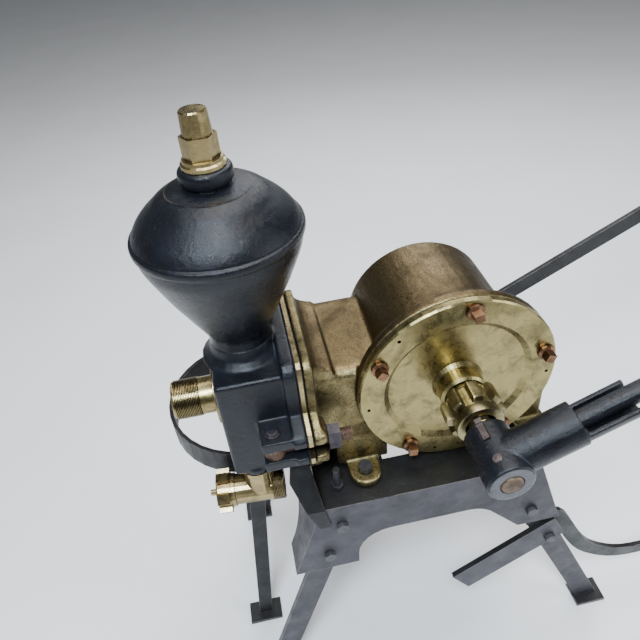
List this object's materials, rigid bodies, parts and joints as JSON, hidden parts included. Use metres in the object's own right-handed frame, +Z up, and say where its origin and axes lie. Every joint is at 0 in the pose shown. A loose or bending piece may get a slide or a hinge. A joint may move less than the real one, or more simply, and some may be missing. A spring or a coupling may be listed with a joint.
{
  "type": "portable hand fire pump",
  "caption": "Hand-lever rotary fire pump: bronze drum with dished cover, iron valve chest with onion-shaped air vessel, brass outlet and suction tee, on a splayed iron stand.",
  "frame": {"origin": "centre of the bounding box at floor level", "axes": "+X to the lever side, +Y from the round cover towards the back of the drum, +Z up"},
  "size_m": [1.1822, 0.5964, 0.9998],
  "materials": {
    "bronze_patina": "brown patina on cast bronze",
    "yellow_brass": "worn polish",
    "copper_bolts": "coppery tarnish",
    "black_cast_iron": "oiled black",
    "dark_painted_iron": "worn dark paint",
    "worn_steel": "handled bare steel",
    "rusty_steel": "light rust",
    "gasket_fibre": "oiled fibre",
    "ash_wood": "oiled"
  },
  "bodies": {
    "pump_and_stand": {"pump_body": "bronze_patina", "drum_partition": "bronze_patina", "front_cover": "yellow_brass", "valve_plate": "yellow_brass", "vessel_plug": "yellow_brass", "outlet_nipple": "yellow_brass", "suction_tee": "yellow_brass", "cover_bolt_1": "copper_bolts", "cover_bolt_2": "copper_bolts", "cover_bolt_3": "copper_bolts", "cover_bolt_4": "copper_bolts", "cover_bolt_5": "copper_bolts", "cover_gasket": "gasket_fibre", "packing_ring": "gasket_fibre", "gasket_drum_side": "gasket_fibre", "gasket_chest_side": "gasket_fibre", "valve_chest": "black_cast_iron", "air_vessel": "black_cast_iron", "swing_pin_front": "black_cast_iron", "swing_pin_back": "black_cast_iron", "hose_hook": "black_cast_iron", "carry_hoop": "black_cast_iron", "flange_bracket": "black_cast_iron", "stand_frame": "dark_painted_iron", "leg_front_left": "dark_painted_iron", "leg_back_left": "dark_painted_iron", "leg_front_right": "dark_painted_iron", "leg_back_right": "dark_painted_iron", "diagonal_brace": "dark_painted_iron", "hoop_leg": "dark_painted_iron", "rear_bar": "dark_painted_iron", "foot_bolt_1": "rusty_steel", "foot_bolt_2": "rusty_steel", "foot_bolt_3": "rusty_steel", "foot_bolt_4": "rusty_steel", "leg_bolt_1": "rusty_steel", "leg_bolt_2": "rusty_steel", "leg_bolt_3": "rusty_steel", "brace_bolt": "rusty_steel", "stand_stud": "rusty_steel"},
    "lever": {"pump_shaft": "rusty_steel", "oil_collar": "yellow_brass", "pump_wing": "bronze_patina", "lever_hub": "black_cast_iron", "hub_key": "worn_steel", "hub_pin": "worn_steel", "lever_rod": "black_cast_iron", "lever_end_tee": "black_cast_iron", "lever_grip": "ash_wood"},
    "swing_bolt_front": {"swing_bolt_front": "rusty_steel"},
    "swing_nut_front": {"swing_nut_front": "black_cast_iron"},
    "swing_bolt_back": {"swing_bolt_back": "rusty_steel"},
    "swing_nut_back": {"swing_nut_back": "black_cast_iron"},
    "tee_cap": {"tee_cap": "yellow_brass"},
    "gland_nut": {"gland_nut": "yellow_brass"},
    "suction_flap_front": {"suction_flap_front": "yellow_brass"},
    "suction_flap_back": {"suction_flap_back": "yellow_brass"},
    "delivery_flap_front": {"delivery_flap_front": "yellow_brass"},
    "delivery_flap_back": {"delivery_flap_back": "yellow_brass"}
  },
  "joints": [
    {"name": "lever_swing", "type": "hinge", "parent": "pump_and_stand", "child": "lever", "pos_m": [-0.17605, -0.16815, 0.62], "axis": [0, -1, 0], "range_deg": [-60, 25]},
    {"name": "swing_bolt_front_hinge", "type": "hinge", "parent": "pump_and_stand", "child": "swing_bolt_front", "pos_m": [-0.43005, -0.05315, 0.586], "axis": [0, 0, -1], "range_deg": [0, 95]},
    {"name": "swing_nut_front_screw", "type": "slide", "parent": "swing_bolt_front", "child": "swing_nut_front", "axis": [1, 0, 0], "range_m": [0, 0.01]},
    {"name": "swing_bolt_back_hinge", "type": "hinge", "parent": "pump_and_stand", "child": "swing_bolt_back", "pos_m": [-0.43005, 0.15985, 0.586], "axis": [0, 0, 1], "range_deg": [0, 95]},
    {"name": "swing_nut_back_screw", "type": "slide", "parent": "swing_bolt_back", "child": "swing_nut_back", "axis": [1, 0, 0], "range_m": [0, 0.01]},
    {"name": "tee_cap_turn", "type": "hinge", "parent": "pump_and_stand", "child": "tee_cap", "pos_m": [-0.46105, -0.00515, 0.452], "axis": [-0.9976, 0.0698, 0], "range_deg": [0, 90]},
    {"name": "gland_nut_turn", "type": "hinge", "parent": "pump_and_stand", "child": "gland_nut", "pos_m": [-0.17605, -0.08315, 0.62], "axis": [0, -1, 0], "continuous": true},
    {"name": "suction_flap_front_hinge", "type": "hinge", "parent": "pump_and_stand", "child": "suction_flap_front", "pos_m": [-0.37795, 0.02185, 0.5775], "axis": [0, -1, 0], "range_deg": [0, 35]},
    {"name": "delivery_flap_front_hinge", "type": "hinge", "parent": "pump_and_stand", "child": "delivery_flap_front", "pos_m": [-0.38995, 0.02185, 0.6395], "axis": [0, 1, 0], "range_deg": [0, 40]},
    {"name": "suction_flap_back_hinge", "type": "hinge", "parent": "pump_and_stand", "child": "suction_flap_back", "pos_m": [-0.37795, 0.08485, 0.5775], "axis": [0, -1, 0], "range_deg": [0, 35]},
    {"name": "delivery_flap_back_hinge", "type": "hinge", "parent": "pump_and_stand", "child": "delivery_flap_back", "pos_m": [-0.38995, 0.08485, 0.6395], "axis": [0, 1, 0], "range_deg": [0, 40]}
  ]
}
